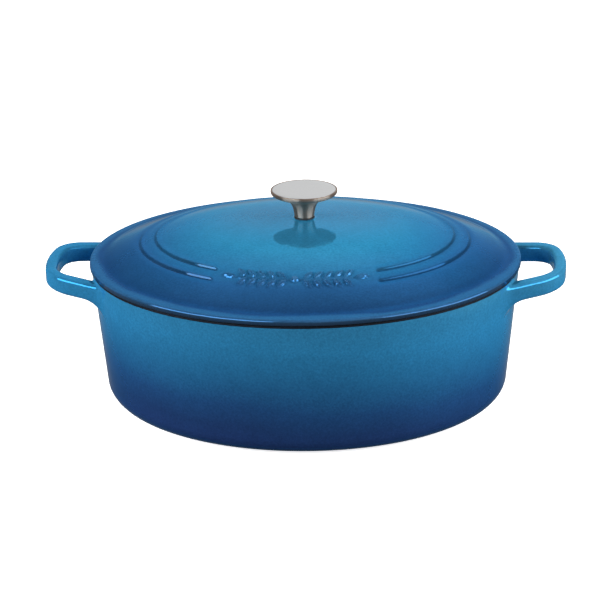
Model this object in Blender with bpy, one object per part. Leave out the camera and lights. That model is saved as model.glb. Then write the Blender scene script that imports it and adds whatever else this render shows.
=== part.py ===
"""Oval enamelled cast iron Dutch oven with a lift-off lid and a stainless steel knob.

Metres, +Z up.  The origin is the centre of the pot's underside, +X runs along the oval
towards a loop handle and -Y is the front, where the lid's two ring steps are interrupted.
"""

import math

import bmesh
import bpy
from mathutils import Matrix

# ---------------------------------------------------------------- driving dimensions
GAP = 0.0003  # between pieces that touch on the real object
OVAL_SEGMENTS = 64
ROUND_SEGMENTS = 32

# Pot casting
POT_HEIGHT = 0.103
RIM_HALF_LENGTH = 0.1589  # outside of the wall at the rim
RIM_HALF_WIDTH = 0.1387
WALL = 0.0040
FLOOR = 0.0043
WALL_TAPER = math.tan(math.radians(5.2))  # how far the wall draws in per metre down
BASE_CORNER = 0.0142  # outside radius between wall and underside
CAVITY_CORNER = 0.012
RIM_EDGE = 0.0012  # rounding of the rim's two edges
FOOT_HEIGHT = 0.0010  # flat ground pad that the pot stands on
FOOT_INSET = 0.0008

# Loop handles, cast in one with the pot
HANDLE_TIP = 0.1933  # outermost point, from the pot's centre
HANDLE_ROOT_HALF_WIDTH = 0.0466  # centreline of the arm at HANDLE_ROOT_X
HANDLE_ROOT_X = 0.1445
HANDLE_LEAN = math.radians(18.5)  # how much the arms close in towards the grip
HANDLE_CORNER = 0.0236  # radius of the centreline between arm and grip
HANDLE_BOW = 0.1117  # radius of the centreline along the grip, which bows outwards
HANDLE_TOP = 0.1010  # height of the loop's top face at HANDLE_LEVEL_X
HANDLE_LEVEL_X = 0.1600
HANDLE_RISE = 0.12  # slope of the loop, climbing outwards
ARM_WIDTH = 0.0111
GRIP_WIDTH = 0.0090
BAR_DEPTH = 0.0135
BAR_EDGE = 0.0032
ROOT_FILLET_ABOVE = 0.0025
ROOT_FILLET_BESIDE = 0.0050
ROOT_FILLET_BELOW = 0.0120
ROOT_STATIONS = (-0.0015, 0.0, 0.0006, 0.0018, 0.0038, 0.0070, 0.0120)  # from the wall
CORNER_STEPS = 6
GRIP_STEPS = 2

# Lid casting
LID_HALF_LENGTH = 0.160
LID_HALF_WIDTH = 0.1398
FLANGE_BOTTOM = POT_HEIGHT + GAP
FLANGE_THICKNESS = 0.0050
FLANGE_TOP = FLANGE_BOTTOM + FLANGE_THICKNESS
FLANGE_EDGE = 0.0014
FLANGE_FALL = 0.0005  # how far the flange's top slopes down to its edge
LID_THICKNESS = 0.0036
SKIRT_DEPTH = 0.0048
SKIRT_WIDTH = 0.0040
SKIRT_CLEARANCE = 0.0012
SKIRT_EDGE = 0.0010
SKIRT_ROOT = 0.0022  # height over which the skirt's inner face leans in by SKIRT_EDGE
OUTER_STEP_INSET = 0.0380
INNER_STEP_INSET = 0.0495
OUTER_STEP_GAP = 0.0600  # half of the plain stretch at the front, between the step's ends
INNER_STEP_GAP = 0.0575
STEP_HEIGHT = 0.0017
STEP_WIDTH = 0.0024
STEP_FADE = 0.0120
STEP_GAP_FADE = 0.0040
# (inset from the lid's edge, rise above the flange) along the shoulder, without the steps
SHOULDER = (
    (0.0080, 0.0000),
    (0.0100, 0.0002),
    (0.0125, 0.0010),
    (0.0165, 0.0028),
    (0.0220, 0.0050),
    (0.0300, 0.0081),
    (0.0380, 0.0109),
    (0.0495, 0.0143),
    (0.0555, 0.0159),
)
CROWN_INSET = 0.0555  # from here inwards the top is one shallow dome
CROWN_POWER = 2.5

# Knob's seat in the middle of the lid
SEAT_TOP = 0.1354
SEAT_RADIUS = 0.0080
SEAT_HEIGHT = 0.0002
SCREW_HOLE_RADIUS = 0.0033
UNDER_PAD_RADIUS = 0.0130
UNDER_PAD = 0.1312  # flat the washer bears on

# Knob and its fastening
GASKET_THICKNESS = 0.0008
GASKET_RADIUS = 0.0077
KNOB_FOOT = SEAT_TOP + 2 * GAP + GASKET_THICKNESS
KNOB_TOP = 0.1574
KNOB_RADIUS = 0.0247
KNOB_WALL = 0.0013
KNOB_LIP = 0.0005
# (radius, height above the knob's foot) up the outside of the trumpet-shaped knob
KNOB_OUTSIDE = (
    (0.0073, 0.0000),
    (0.0077, 0.0034),
    (0.0086, 0.0072),
    (0.0103, 0.0105),
    (0.0138, 0.0133),
    (0.0190, 0.0153),
    (0.0230, 0.0170),
    (0.0244, 0.0182),
    (KNOB_RADIUS, 0.0193),
)
# (radius, height above the knob's foot) down the inside, from under the disc to the insert
KNOB_INSIDE = (
    (0.0190, 0.0153 + KNOB_WALL),
    (0.0132, 0.0133 + KNOB_WALL),
    (0.0090, 0.0121),
)
INSERT_BORE_TOP = 0.0085
DISC_RADIUS = 0.0235
DISC_THICKNESS = 0.0012
DISC_SEAT_WIDTH = 0.0012
INSERT_RADIUS = 0.0056
INSERT_HEIGHT = 0.0110
INSERT_GROOVE = 0.0006  # depth of the groove round its middle
THREAD_RADIUS = 0.0025
WASHER_THICKNESS = 0.0010
WASHER_RADIUS = 0.0070
LOCK_THICKNESS = 0.0013
LOCK_RADIUS = 0.0047
LOCK_SPLIT = 0.0008
HEAD_RADIUS = 0.0049
HEAD_HEIGHT = 0.0031
RECESS_DEPTH = 0.0018
RECESS_ARM = 0.0060
RECESS_WIDTH = 0.0013


# ---------------------------------------------------------------- shared tools
def clear_scene():
    for obj in list(bpy.data.objects):
        bpy.data.objects.remove(obj, do_unlink=True)


def material(name, colour, roughness, metallic):
    made = bpy.data.materials.new(name)
    made.use_nodes = True
    shader = made.node_tree.nodes["Principled BSDF"]
    shader.inputs["Base Color"].default_value = (*colour, 1.0)
    shader.inputs["Roughness"].default_value = roughness
    shader.inputs["Metallic"].default_value = metallic
    made.diffuse_color = (*colour, 1.0)
    return made


def smooth_step(value, centre, width):
    """0 before centre, 1 after it, eased over the given width."""
    t = min(1.0, max(0.0, (value - centre) / width + 0.5))
    return t * t * (3 - 2 * t)


def along(points, value):
    """Height on a smooth curve through (position, height) points, flat before the first."""
    if value <= points[0][0]:
        return points[0][1]
    slopes = [0.0]
    for before, here, after in zip(points, points[1:], points[2:]):
        slopes.append((after[1] - before[1]) / (after[0] - before[0]))
    slopes.append((points[-1][1] - points[-2][1]) / (points[-1][0] - points[-2][0]))
    for i in range(len(points) - 1):
        (x0, y0), (x1, y1) = points[i], points[i + 1]
        if value <= x1 or i == len(points) - 2:
            span = x1 - x0
            t = (value - x0) / span
            keep, turn = 2 * t**3 - 3 * t**2 + 1, t**3 - 2 * t**2 + t
            end_turn = t**3 - t**2
            return keep * y0 + (1 - keep) * y1 + span * (turn * slopes[i] + end_turn * slopes[i + 1])


def oval(half_length, half_width, height, segments=OVAL_SEGMENTS):
    """One closed ring of points on an ellipse."""
    turns = [2 * math.pi * i / segments for i in range(segments)]
    return [(half_length * math.cos(t), half_width * math.sin(t), height) for t in turns]


def round_ring(radius, height):
    return oval(radius, radius, height, ROUND_SEGMENTS)


def arc(centre_r, centre_z, radius, start, end, steps):
    """(r, z) points on an arc, with angles in degrees from +r towards +z."""
    angles = [math.radians(start + (end - start) * i / steps) for i in range(steps + 1)]
    return [(centre_r + radius * math.cos(a), centre_z + radius * math.sin(a)) for a in angles]


def loft(name, rings, made_of, tube=False):
    """A closed solid skinned over rings of points.  A tube's last ring joins its first;
    otherwise the first and last rings are closed with a face each."""
    mesh = bpy.data.meshes.new(name)
    shape = bmesh.new()
    rows = [[shape.verts.new(point) for point in ring] for ring in rings]
    pairs = list(zip(rows, rows[1:] + rows[:1])) if tube else list(zip(rows, rows[1:]))
    for lower, upper in pairs:
        for i in range(len(lower)):
            j = (i + 1) % len(lower)
            shape.faces.new((lower[i], lower[j], upper[j], upper[i]))
    if not tube:
        shape.faces.new(rows[0])
        shape.faces.new(rows[-1])
    bmesh.ops.recalc_face_normals(shape, faces=shape.faces)
    shape.to_mesh(mesh)
    shape.free()
    mesh.shade_smooth()
    mesh.set_sharp_from_angle(angle=math.radians(35))
    obj = bpy.data.objects.new(name, mesh)
    obj.data.materials.append(made_of)
    bpy.context.scene.collection.objects.link(obj)
    return obj


def turned(name, profile, made_of, tube=False):
    """A solid of revolution about Z from an (r, z) profile."""
    return loft(name, [round_ring(r, z) for r, z in profile], made_of, tube)


def boolean(obj, other, operation):
    other.hide_render = True
    other.display_type = "WIRE"
    modifier = obj.modifiers.new(operation.title() + " " + other.name, "BOOLEAN")
    modifier.operation = operation
    modifier.solver = "EXACT"
    modifier.object = other


# ---------------------------------------------------------------- pot
def wall_inset(height):
    """How far the outside of the wall stands in from the rim's outline at a height."""
    return (POT_HEIGHT - height) * WALL_TAPER


def pot_outside():
    """Rings of the pot as one full block, from its ground foot to the rim."""
    low = FOOT_HEIGHT + BASE_CORNER
    foot = wall_inset(low) + BASE_CORNER + FOOT_INSET
    rings = []
    for height in (0.0, FOOT_HEIGHT):
        rings.append(oval(RIM_HALF_LENGTH - foot, RIM_HALF_WIDTH - foot, height))
    for r, z in arc(-BASE_CORNER, low, BASE_CORNER, -90, 0, 6):
        inset = wall_inset(low) - r
        rings.append(oval(RIM_HALF_LENGTH - inset, RIM_HALF_WIDTH - inset, z))
    for height in (0.045, 0.080, POT_HEIGHT - RIM_EDGE):
        inset = wall_inset(height)
        rings.append(oval(RIM_HALF_LENGTH - inset, RIM_HALF_WIDTH - inset, height))
    rings.append(oval(RIM_HALF_LENGTH - RIM_EDGE, RIM_HALF_WIDTH - RIM_EDGE, POT_HEIGHT))
    return rings


def cavity():
    """Rings of the space inside the pot, carried on above the rim so that it cuts cleanly."""
    low = FLOOR + CAVITY_CORNER
    rings = []
    for r, z in arc(-CAVITY_CORNER, low, CAVITY_CORNER, -90, 0, 5):
        inset = wall_inset(low) + WALL - r
        rings.append(oval(RIM_HALF_LENGTH - inset, RIM_HALF_WIDTH - inset, z))
    for height, widen in (
        (0.060, 0.0),
        (POT_HEIGHT - RIM_EDGE, 0.0),
        (POT_HEIGHT + RIM_EDGE, 2 * RIM_EDGE),
    ):
        inset = wall_inset(height) + WALL - widen
        rings.append(oval(RIM_HALF_LENGTH - inset, RIM_HALF_WIDTH - inset, height))
    return rings


def wall_reach(y, height):
    """How far out the wall's outside is, along X, at a sideways distance and a height."""
    inset = wall_inset(height)
    return (RIM_HALF_LENGTH - inset) * math.sqrt(1 - (y / (RIM_HALF_WIDTH - inset)) ** 2)


def fillet(distance, radius):
    """How far a fillet of this radius stands off a bar, at a distance from the wall."""
    near = min(1.0, max(0.0, distance / radius))
    return radius * (1 - math.sqrt(1 - (1 - near) ** 2))


def bar_section(width):
    """Rounded rectangle as (across, up, normal across, normal up), with its top at 0."""
    points = []
    for start, side, level in ((0, 1, -BAR_EDGE), (90, -1, -BAR_EDGE), (180, -1, 0), (270, 1, 0)):
        if level == 0:
            level = BAR_EDGE - BAR_DEPTH
        for turn, (across, up) in enumerate(arc(0, 0, BAR_EDGE, start, start + 90, 2)):
            angle = math.radians(start + 45 * turn)
            middle = side * (width / 2 - BAR_EDGE)
            points.append((middle + across, level + up, math.cos(angle), math.sin(angle)))
    return points


def bar_top(x):
    return HANDLE_TOP + HANDLE_RISE * (x - HANDLE_LEVEL_X)


def root_ring(lean, distance):
    """Section of an arm that follows the wall at a distance from it, with its fillets."""
    ring = []
    for across, up, out_across, out_up in bar_section(ARM_WIDTH):
        below = ROOT_FILLET_BELOW if out_up < 0 else ROOT_FILLET_ABOVE
        across += fillet(distance, ROOT_FILLET_BESIDE) * out_across
        up += fillet(distance, below) * out_up
        x = HANDLE_ROOT_X
        for _ in range(6):
            y = (x - HANDLE_ROOT_X - across * math.sin(lean)) * math.tan(lean)
            y -= HANDLE_ROOT_HALF_WIDTH + across * math.cos(lean)
            z = bar_top(x) + up
            x = wall_reach(y, z) + distance
        ring.append((x, y, z))
    return ring


def loop_ring(x, y, heading, width):
    """Section of the loop square to its centreline."""
    ring = []
    for across, up, _, _ in bar_section(width):
        px = x + across * math.sin(heading)
        ring.append((px, y - across * math.cos(heading), bar_top(px) + up))
    return ring


def loop_line():
    """(x, y, heading) along the centreline, from the front arm's end to the grip's middle."""
    bow_x = HANDLE_TIP - GRIP_WIDTH / 2 - HANDLE_BOW
    ahead, aside = math.cos(HANDLE_LEAN), math.sin(HANDLE_LEAN)
    # the corner's centre, on a line alongside the arm, where its arc meets the grip's
    x = HANDLE_ROOT_X - HANDLE_CORNER * aside
    y = HANDLE_CORNER * ahead - HANDLE_ROOT_HALF_WIDTH
    apart = HANDLE_BOW - HANDLE_CORNER
    near = (x - bow_x) * ahead + y * aside
    reach = math.sqrt(near**2 - (x - bow_x) ** 2 - y**2 + apart**2) - near
    x += reach * ahead
    y += reach * aside
    spread = math.asin(-y / apart)
    turn = math.pi / 2 - spread - HANDLE_LEAN
    line = []
    for i in range(CORNER_STEPS + 1):
        heading = HANDLE_LEAN + turn * i / CORNER_STEPS
        line.append((x + HANDLE_CORNER * math.sin(heading), y - HANDLE_CORNER * math.cos(heading), heading))
    for i in range(1, GRIP_STEPS + 1):
        heading = math.pi / 2 - spread * (1 - i / GRIP_STEPS)
        line.append((bow_x + HANDLE_BOW * math.sin(heading), -HANDLE_BOW * math.cos(heading), heading))
    return line


def handle_rings():
    """Sections of a loop from its front root to its back root."""
    half = [root_ring(HANDLE_LEAN, distance) for distance in ROOT_STATIONS]
    for i, (x, y, heading) in enumerate(loop_line()):
        narrowed = min(1.0, i / CORNER_STEPS)
        half.append(loop_ring(x, y, heading, ARM_WIDTH + (GRIP_WIDTH - ARM_WIDTH) * narrowed))
    other = [[(x, -y, z) for x, y, z in ring] for ring in reversed(half[:-1])]
    return half + other


def handle(name, side, made_of):
    """One loop handle, its two ends buried in the pot's wall."""
    rings = [[(side * x, y, z) for x, y, z in ring] for ring in handle_rings()]
    return loft(name, rings, made_of)


def make_pot(enamel):
    pot = loft("pot", pot_outside(), enamel)
    boolean(pot, handle("handle_right_shape", 1, enamel), "UNION")
    boolean(pot, handle("handle_left_shape", -1, enamel), "UNION")
    boolean(pot, loft("cavity_shape", cavity(), enamel), "DIFFERENCE")
    return pot


# ---------------------------------------------------------------- lid
def shoulder_rise(inset, x, y):
    """Height of the lid's top above the flange, with its two steps where they run."""
    rise = along(SHOULDER, inset)
    for step, gap in ((OUTER_STEP_INSET, OUTER_STEP_GAP), (INNER_STEP_INSET, INNER_STEP_GAP)):
        runs = smooth_step(abs(x), gap, STEP_GAP_FADE) if y < 0 else 1.0
        sharp = smooth_step(inset, step, STEP_WIDTH)
        soft = smooth_step(inset, step, STEP_FADE)
        rise += runs * STEP_HEIGHT * (sharp - soft)
    return rise


def shoulder_ring(inset):
    ring = oval(LID_HALF_LENGTH - inset, LID_HALF_WIDTH - inset, 0.0)
    return [(x, y, FLANGE_TOP + shoulder_rise(inset, x, y)) for x, y, _ in ring]


def crown_ring(share, drop=0.0):
    """A ring on the dome between the inner step (share 0) and the knob's seat (share 1)."""
    half_length = LID_HALF_LENGTH - CROWN_INSET
    half_width = LID_HALF_WIDTH - CROWN_INSET
    top = SEAT_TOP - SEAT_HEIGHT
    fall = top - FLANGE_TOP - along(SHOULDER, CROWN_INSET)
    ring = []
    for x, y, _ in oval(
        half_length + (SEAT_RADIUS - half_length) * share,
        half_width + (SEAT_RADIUS - half_width) * share,
        0.0,
    ):
        out = math.hypot(x / half_length, y / half_width)
        ring.append((x, y, top - fall * out**CROWN_POWER - drop))
    return ring


def under_ring(inset, height):
    return oval(LID_HALF_LENGTH - inset, LID_HALF_WIDTH - inset, height)


def make_lid(enamel):
    rings = [oval(SCREW_HOLE_RADIUS, SCREW_HOLE_RADIUS, SEAT_TOP)]
    rings.append(oval(SEAT_RADIUS - SEAT_HEIGHT, SEAT_RADIUS - SEAT_HEIGHT, SEAT_TOP))
    rings += [crown_ring(share) for share in (1.0, 0.85, 0.7, 0.55, 0.4, 0.26, 0.13, 0.0)]
    step = STEP_WIDTH / 2
    insets = [INNER_STEP_INSET + step, INNER_STEP_INSET - step]
    insets += [OUTER_STEP_INSET + step, OUTER_STEP_INSET - step]
    insets += [0.0300, 0.0220, 0.0165, 0.0125, 0.0100, 0.0080]
    rings += [shoulder_ring(inset) for inset in insets]
    for r, z in arc(FLANGE_EDGE, FLANGE_TOP - FLANGE_FALL - FLANGE_EDGE, FLANGE_EDGE, 90, 180, 3):
        rings.append(under_ring(r, z))
    rings.append(under_ring(0.0, FLANGE_BOTTOM + FLANGE_EDGE / 2))
    rings.append(under_ring(FLANGE_EDGE / 2, FLANGE_BOTTOM))
    skirt = LID_HALF_LENGTH - RIM_HALF_LENGTH + WALL + SKIRT_CLEARANCE
    low = FLANGE_BOTTOM - SKIRT_DEPTH
    rings.append(under_ring(skirt, FLANGE_BOTTOM))
    rings.append(under_ring(skirt, low + SKIRT_EDGE))
    rings.append(under_ring(skirt + SKIRT_EDGE, low))
    rings.append(under_ring(skirt + SKIRT_WIDTH - SKIRT_EDGE, low))
    rings.append(under_ring(skirt + SKIRT_WIDTH + SKIRT_EDGE, low + SKIRT_ROOT))
    for inset in (0.0180, 0.0250, 0.0350, 0.0450, CROWN_INSET):
        rings.append(under_ring(inset, FLANGE_TOP + along(SHOULDER, inset) - LID_THICKNESS))
    rings += [crown_ring(share, LID_THICKNESS) for share in (0.2, 0.4, 0.6, 0.8, 0.93)]
    rings.append(oval(UNDER_PAD_RADIUS, UNDER_PAD_RADIUS, UNDER_PAD))
    rings.append(oval(SCREW_HOLE_RADIUS, SCREW_HOLE_RADIUS, UNDER_PAD))
    return loft("lid", rings, enamel, tube=True)


# ---------------------------------------------------------------- knob
def make_knob_body(steel):
    """A hollow shell, open at the top where the disc drops in."""
    outside = [(r, KNOB_FOOT + z) for r, z in KNOB_OUTSIDE]
    seat = KNOB_TOP - DISC_THICKNESS - GAP
    bore = INSERT_RADIUS + GAP
    profile = [(bore, KNOB_FOOT), *outside]
    profile.append((KNOB_RADIUS, KNOB_TOP - KNOB_LIP))
    profile.append((KNOB_RADIUS - KNOB_LIP, KNOB_TOP))
    profile.append((DISC_RADIUS + GAP, KNOB_TOP))
    profile.append((DISC_RADIUS + GAP, seat))
    profile.append((DISC_RADIUS - DISC_SEAT_WIDTH, seat))
    profile += [(r, KNOB_FOOT + z) for r, z in KNOB_INSIDE]
    profile.append((bore, KNOB_FOOT + INSERT_BORE_TOP))
    return turned("knob_body", profile, steel, tube=True)


def make_knob_disc(steel):
    bottom = KNOB_TOP - DISC_THICKNESS
    edge = 0.0002
    profile = [(DISC_RADIUS, bottom), (DISC_RADIUS, KNOB_TOP - edge), (DISC_RADIUS - edge, KNOB_TOP)]
    return turned("knob_top_disc", profile, steel)


def make_insert(steel):
    """Threaded sleeve fixed in the knob's stem, with a groove round its middle."""
    outer, inner = INSERT_RADIUS, THREAD_RADIUS + GAP
    low, high = KNOB_FOOT + 0.0004, KNOB_FOOT + INSERT_HEIGHT
    middle = (low + high) / 2 + 0.0020
    profile = [(inner, low), (outer, low)]
    waist = outer - INSERT_GROOVE
    for r, z in ((outer, -0.0012), (waist, -0.0008), (waist, 0.0008), (outer, 0.0012)):
        profile.append((r, middle + z))
    profile += [(outer, high), (inner, high)]
    return turned("knob_thread_insert", profile, steel, tube=True)


def make_gasket(rubber):
    low = SEAT_TOP + GAP
    high = low + GASKET_THICKNESS
    inner = SCREW_HOLE_RADIUS
    profile = [(inner, low), (GASKET_RADIUS, low), (GASKET_RADIUS, high), (inner, high)]
    return turned("knob_gasket", profile, rubber, tube=True)


def make_washer(steel):
    high = UNDER_PAD - GAP
    low = high - WASHER_THICKNESS
    inner, edge = THREAD_RADIUS + 2 * GAP, 0.0002
    profile = [(inner, low), (WASHER_RADIUS - edge, low), (WASHER_RADIUS, low + edge)]
    profile += [(WASHER_RADIUS, high), (inner, high)]
    return turned("knob_washer", profile, steel, tube=True)


def lock_washer_bottom():
    return UNDER_PAD - 2 * GAP - WASHER_THICKNESS - LOCK_THICKNESS


def make_lock_washer(steel):
    """Split spring washer: a ring with a narrow slot through one side."""
    low = lock_washer_bottom()
    high = low + LOCK_THICKNESS
    inner = THREAD_RADIUS + GAP
    start = LOCK_SPLIT / (LOCK_RADIUS + inner)
    rings = []
    for i in range(ROUND_SEGMENTS + 1):
        t = start + (2 * math.pi - 2 * start) * i / ROUND_SEGMENTS
        ring = []
        for r, z in ((inner, low), (LOCK_RADIUS, low), (LOCK_RADIUS, high), (inner, high)):
            ring.append((r * math.cos(t), r * math.sin(t), z))
        rings.append(ring)
    return loft("knob_lock_washer", rings, steel)


def make_screw(steel):
    """Pan-head screw with a cross recess, driven up from under the lid."""
    seat = lock_washer_bottom() - GAP
    low = seat - HEAD_HEIGHT
    tip = KNOB_FOOT + INSERT_HEIGHT - 0.0010
    profile = [(HEAD_RADIUS * 0.62, low), (HEAD_RADIUS * 0.88, low + 0.0007)]
    profile += [(HEAD_RADIUS, low + 0.0019), (HEAD_RADIUS, seat)]
    profile += [(THREAD_RADIUS, seat), (THREAD_RADIUS, tip - 0.0008), (THREAD_RADIUS - 0.0008, tip)]
    screw = turned("knob_screw", profile, steel)
    recess = bpy.data.meshes.new("recess_shape")
    shape = bmesh.new()
    for size in ((RECESS_ARM, RECESS_WIDTH), (RECESS_WIDTH, RECESS_ARM)):
        place = Matrix.Translation((0, 0, low)) @ Matrix.Diagonal((*size, 2 * RECESS_DEPTH, 1))
        bmesh.ops.create_cube(shape, size=1.0, matrix=place)
    shape.to_mesh(recess)
    shape.free()
    cutter = bpy.data.objects.new("recess_shape", recess)
    bpy.context.scene.collection.objects.link(cutter)
    boolean(screw, cutter, "DIFFERENCE")
    screw.modifiers[-1].use_self = True
    return screw


# ---------------------------------------------------------------- assembly
def main():
    clear_scene()
    enamel = material("blue enamel on cast iron", (0.030, 0.165, 0.330), 0.15, 0.0)
    polished = material("polished stainless steel", (0.62, 0.60, 0.58), 0.22, 1.0)
    brushed = material("brushed stainless steel", (0.72, 0.71, 0.70), 0.38, 1.0)
    plated = material("zinc plated steel", (0.55, 0.55, 0.53), 0.40, 1.0)
    rubber = material("black silicone", (0.015, 0.015, 0.016), 0.60, 0.0)
    pot = make_pot(enamel)
    lid = make_lid(enamel)
    knob_pieces = [
        make_knob_body(polished),
        make_knob_disc(brushed),
        make_insert(plated),
        make_gasket(rubber),
        make_washer(plated),
        make_lock_washer(plated),
        make_screw(plated),
    ]
    lift = bpy.data.objects.new("lid_lift", None)
    bpy.context.scene.collection.objects.link(lift)
    for piece in [lid, *knob_pieces]:
        piece.parent = lift
    lift.parent = pot


main()
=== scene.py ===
"""Looks for the oval enamelled cast iron dutch oven: fine castings, steel knob, enamel coats."""

import math

import bpy
import numpy as np
from mathutils import Matrix, Vector


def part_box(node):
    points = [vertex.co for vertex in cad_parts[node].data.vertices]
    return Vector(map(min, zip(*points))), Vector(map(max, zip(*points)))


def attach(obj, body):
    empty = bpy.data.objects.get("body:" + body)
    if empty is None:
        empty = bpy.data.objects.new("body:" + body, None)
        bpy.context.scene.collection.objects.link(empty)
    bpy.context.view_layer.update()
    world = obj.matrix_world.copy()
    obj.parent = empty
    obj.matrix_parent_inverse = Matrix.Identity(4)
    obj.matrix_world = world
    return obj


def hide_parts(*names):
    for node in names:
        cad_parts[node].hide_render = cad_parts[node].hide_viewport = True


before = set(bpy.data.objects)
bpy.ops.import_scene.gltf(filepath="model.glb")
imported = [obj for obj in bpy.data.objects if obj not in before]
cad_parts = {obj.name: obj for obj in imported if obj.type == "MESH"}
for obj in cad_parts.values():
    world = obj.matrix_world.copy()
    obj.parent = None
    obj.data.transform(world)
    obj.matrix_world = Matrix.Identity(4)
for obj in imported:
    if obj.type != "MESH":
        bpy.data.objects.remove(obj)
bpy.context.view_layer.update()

# ---------------------------------------------------------------- sizes read from the frame
POT_LOW, POT_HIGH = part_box("pot")
LID_LOW, LID_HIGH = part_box("lid")
KNOB_LOW, KNOB_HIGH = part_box("knob_body")
DISC_LOW, DISC_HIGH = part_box("knob_top_disc")
GASKET_LOW, GASKET_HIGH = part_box("knob_gasket")

# ---------------------------------------------------------------- sizes
# most are part.py's; the fine edges, the coats and the leaves belong to the visible shape only
GAP = 0.0003
POT_HEIGHT = 0.103
RIM_HALF_LENGTH = 0.1589
RIM_HALF_WIDTH = 0.1387
WALL = 0.0040
FLOOR = 0.0043
WALL_TAPER = math.tan(math.radians(5.2))
BASE_CORNER = 0.0142
CAVITY_CORNER = 0.012
FOOT_HEIGHT = 0.0010
FOOT_INSET = 0.0008
FOOT_EDGE = 0.0002
RIM_EDGE = 0.0011  # radius of the rim's two edges
BLACK_AND_SHADE_OUTSIDE = 0.0017  # how far the rim's matt black reaches down outside; below the rim's own coat it is painted shadow under the lid's flange
BLACK_INSIDE = 0.0035  # and inside

HANDLE_TIP = POT_HIGH.x
HANDLE_ROOT_HALF_WIDTH = 0.0466  # centreline of the arm at HANDLE_ROOT_X
HANDLE_ROOT_X = 0.1445
HANDLE_LEAN = math.radians(18.5)  # how much the arms close in towards the grip
HANDLE_CORNER = 0.0236  # radius of the centreline between arm and grip
HANDLE_BOW = 0.1117  # radius of the centreline along the grip, which bows outwards
HANDLE_TOP = 0.1010  # height of the loop's top face at HANDLE_LEVEL_X
HANDLE_LEVEL_X = 0.1600
HANDLE_RISE = 0.12
ARM_WIDTH = 0.0111
GRIP_WIDTH = 0.0090
BAR_DEPTH = 0.0135
BAR_EDGE = 0.0032
ROOT_FILLET_ABOVE = 0.0025
ROOT_FILLET_BESIDE = 0.0050
ROOT_FILLET_BELOW = 0.0120
ROOT_REACH = 0.0120
ROOT_BURIED = 0.0015
CORNER_STEPS = 22
GRIP_STEPS = 8

LID_HALF_LENGTH = LID_HIGH.x
LID_HALF_WIDTH = LID_HIGH.y
FLANGE_BOTTOM = POT_HEIGHT + GAP
FLANGE_TOP = FLANGE_BOTTOM + 0.0050
FLANGE_WIDTH = 0.0080
FLANGE_EDGE = 0.0019
FLANGE_FALL = 0.0005  # the flange's top slopes down a little to its edge
FLANGE_UNDER_EDGE = 0.0006
LID_THICKNESS = 0.0036
SKIRT_LOW = LID_LOW.z
SKIRT_WIDTH = 0.0040
SKIRT_CLEARANCE = 0.0012
SKIRT_ROOT = (0.0014, 0.0030)  # the taper between the skirt's inner side and the lid: in, up
CORNER_ROUNDING = 0.0008
UNDERSIDE_FROM = 0.0180  # inset where the lid's underside follows its top
OUTER_STEP_INSET = 0.0380
INNER_STEP_INSET = 0.0495
STEP_HEIGHT = 0.0017
STEP_WIDTH = 0.0013
STEP_FADE = 0.0120  # width over which the rise of a step is given back outside it
STEP_BAND = 0.0009  # rows are crowded this far to each side of a step
# inset, then where the step ends at the front, to the left and right of the middle
STEPS = ((OUTER_STEP_INSET, 0.0612, 0.0562), (INNER_STEP_INSET, 0.0585, 0.0543))
STEP_GAP_FADE = 0.0025
STEP_PAINTED_SHADE = 0.55  # painted shade: how much darker the coat's colour is painted on a step's slope
STEP_PAINTED_SHADE_WIDTH = 0.0009
STEP_PAINTED_SHADE_SHIFT = 0.0002
# painted shade round the flange's edge: how much darker the coat's colour is painted there
EDGE_PAINTED_SHADE = 0.72
THICK_FROM = 0.055  # how far in front of the middle the clear glass grows thick on edges
THICK_FADE = 0.03
THICK_WEIGHT = 0.55
CROWN_THICK = 0.24  # its weight in the middle of the lid
# (inset from the lid's edge, rise above the flange), without the steps
LID_PROFILE = (
    (0.0000, -FLANGE_FALL),
    (FLANGE_WIDTH, 0.0000),
    (0.0100, 0.0002),
    (0.0125, 0.0010),
    (0.0165, 0.0028),
    (0.0220, 0.0050),
    (0.0300, 0.0081),
    (0.0380, 0.0109),
    (0.0495, 0.0143),
    (0.0555, 0.0159),
)
CROWN_INSET = 0.0555  # from here inwards the top is one shallow dome
CROWN_POWER = 2.5
SEAT_TOP = LID_HIGH.z
SEAT_RADIUS = 0.0080  # small flat under the knob's gasket
SEAT_HEIGHT = 0.0002
SEAT_EDGE = 0.0003
SEAT_MIDDLE = 0.0055  # a ring on the seat between the screw hole and its edge
SCREW_HOLE_RADIUS = 0.0033
UNDER_PAD_RADIUS = 0.0130
UNDER_PAD = 0.1312  # height of the flat that the screw's washers press on
UNDER_PAD_EDGE = (0.0006, 0.0002)

# ---------------------------------------------------------------- mesh density
POT_SEGMENTS = 288
LATHE_SEGMENTS = 160
RELIEF_SPACING = 0.00055  # across the rows of the grid that carries the leaf relief
ALONG_ROWS = 1.15  # how much wider the grid is along its rows
ROW_GAP = 0.0005  # between two stretches of rows
FRONT_SPAN = math.radians(48)  # each side of the front, where the lid's grid is dense
SIDE_SEGMENTS = 180
SHARP_ANGLE = math.radians(40)  # above this an edge stays sharp

# ---------------------------------------------------------------- leaf relief on the lid
RELIEF_INSET = 0.0438
RELIEF_HEIGHT = 0.0017
RELIEF_MIDDLE = -0.0025  # of the garland, along X
RELIEF_REACH = 0.0112  # how far the leaves spread to each side of the stem
RELIEF_EDGE = 0.0009
STEM_HALF_WIDTH = 0.00055
STEM_SHARE = 0.7  # of the leaves' height
MIDRIB_WIDTH = 0.00045
MIDRIB_DEPTH = 0.45  # as a share of the leaf's height
LEAF_START = 0.0055  # from the middle to the first pair of leaves
LEAF_PITCH = 0.0070
LEAF_PAIRS = 5
LEAF_LENGTH = 0.0122
LEAF_WIDTH = 0.0044
LEAF_LEAN = 0.92
BERRY_RADIUS = 0.0030
BERRY_SHARE = 1.2


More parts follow.
